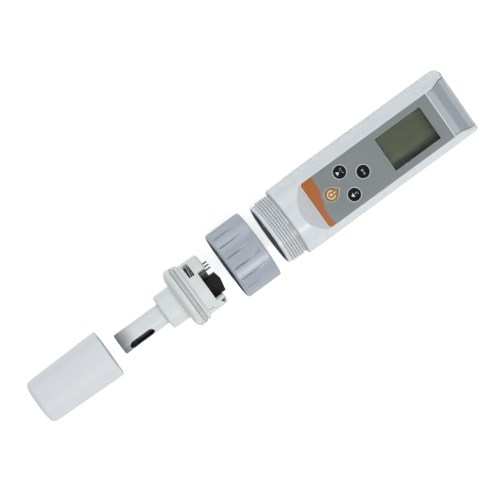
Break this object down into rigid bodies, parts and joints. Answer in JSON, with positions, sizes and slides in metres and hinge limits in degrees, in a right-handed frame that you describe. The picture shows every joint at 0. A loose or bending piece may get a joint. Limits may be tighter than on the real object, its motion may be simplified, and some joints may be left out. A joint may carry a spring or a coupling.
{
  "type": "pH test pen",
  "caption": "Pocket pH tester laid out in groups: storage cap, electrode module, screw collar and flat-fronted meter body with display, keys and threaded neck, on sliding and screwing joints.",
  "frame": {"origin": "midpoint of the laid-out set's length and width, on the plane the flat back lies on", "axes": "+X along the pen from the cap towards the display end, +Z out of the display and keys, +Y to complete a right-handed frame"},
  "size_m": [0.2726, 0.04, 0.04],
  "materials": {
    "shell_white": "fine satin",
    "module_white": "fine satin",
    "cap_white": "semi-gloss",
    "collar_grey": "satin",
    "end_grey": "satin",
    "overlay_grey": "fine printed film",
    "gasket_grey": "matt",
    "seal_black": "matt",
    "sleeve_grey": "matt",
    "sponge_cream": "open-cell",
    "probe_white": "semi-gloss",
    "stem_dark": "gloss",
    "bulb_glass": "clear",
    "junction_ceramic": "porous",
    "board_green": "solder mask",
    "chip_black": "matt",
    "connector_black": "satin",
    "contact_metal": "bright",
    "screw_steel": "bright",
    "key_black": "satin",
    "key_orange": "satin",
    "lens_clear": "clear",
    "lcd_olive": "glossy",
    "frame_black": "matt",
    "zebra_pink": "matt",
    "cell_steel": "bright"
  },
  "bodies": {
    "meter": {"housing_front": "shell_white", "housing_rear": "shell_white", "seam_seal_a": "seal_black", "seam_seal_b": "seal_black", "fascia_overlay": "overlay_grey", "display_lens": "lens_clear", "lcd_glass": "lcd_olive", "lcd_frame": "frame_black", "zebra_strip_a": "zebra_pink", "zebra_strip_b": "zebra_pink", "switch_power": "chip_black", "switch_up": "chip_black", "switch_down": "chip_black", "switch_enter": "chip_black", "main_board": "board_green", "main_chip": "chip_black", "neck_contact_block": "connector_black", "neck_contact_comb": "contact_metal", "battery_contact_inner": "contact_metal", "housing_screw_1": "screw_steel", "housing_screw_2": "screw_steel", "housing_screw_3": "screw_steel", "housing_screw_4": "screw_steel"},
    "battery_drawer": {"battery_cap": "end_grey", "battery_seal": "seal_black", "button_cell_1": "cell_steel", "button_cell_2": "cell_steel", "button_cell_3": "cell_steel", "button_cell_4": "cell_steel", "battery_contact_outer": "contact_metal"},
    "collar_carriage": {"collar_slip_ring": "seal_black"},
    "collar": {"lock_collar": "collar_grey"},
    "electrode_module": {"module_housing": "module_white", "flange_gasket": "gasket_grey", "probe_tube": "probe_white", "electrode_stem": "stem_dark", "glass_bulb": "bulb_glass", "reference_junction": "junction_ceramic", "module_board": "board_green", "board_chip": "chip_black", "board_capacitor": "chip_black", "socket_connector": "connector_black", "pin_header": "connector_black"},
    "storage_cap": {"cap_shell": "cap_white", "cap_seal_sleeve": "sleeve_grey", "cap_sponge": "sponge_cream"},
    "button_up": {"key_up": "key_black"},
    "button_enter": {"key_enter": "key_black"},
    "button_down": {"key_down": "key_black"},
    "button_power": {"key_power": "key_orange"}
  },
  "joints": [
    {"name": "module_slide", "type": "slide", "parent": "meter", "child": "electrode_module", "axis": [1, 0, 0], "range_m": [0, 0.0488]},
    {"name": "cap_slide", "type": "slide", "parent": "electrode_module", "child": "storage_cap", "axis": [1, 0, 0], "range_m": [0, 0.045]},
    {"name": "collar_advance", "type": "slide", "parent": "meter", "child": "collar_carriage", "axis": [1, 0, 0], "range_m": [0, 0.01688]},
    {"name": "collar_turn", "type": "hinge", "parent": "collar_carriage", "child": "collar", "pos_m": [0, 0, 0.02], "axis": [1, 0, 0], "range_deg": [0, 4050]},
    {"name": "battery_drawer_slide", "type": "slide", "parent": "meter", "child": "battery_drawer", "axis": [1, 0, 0], "range_m": [0, 0.028]},
    {"name": "press_up", "type": "slide", "parent": "meter", "child": "button_up", "axis": [0, 0, -1], "range_m": [0, 0.0005], "stiffness_N_per_m": 400, "springref_m": -0.0002},
    {"name": "press_enter", "type": "slide", "parent": "meter", "child": "button_enter", "axis": [0, 0, -1], "range_m": [0, 0.0005], "stiffness_N_per_m": 400, "springref_m": -0.0002},
    {"name": "press_down", "type": "slide", "parent": "meter", "child": "button_down", "axis": [0, 0, -1], "range_m": [0, 0.0005], "stiffness_N_per_m": 400, "springref_m": -0.0002},
    {"name": "press_power", "type": "slide", "parent": "meter", "child": "button_power", "axis": [0, 0, -1], "range_m": [0, 0.0005], "stiffness_N_per_m": 400, "springref_m": -0.0002}
  ],
  "couplings": [
    {"joint": "collar_advance", "follows": "collar_turn", "m_per_rad": 0.00023873}
  ]
}
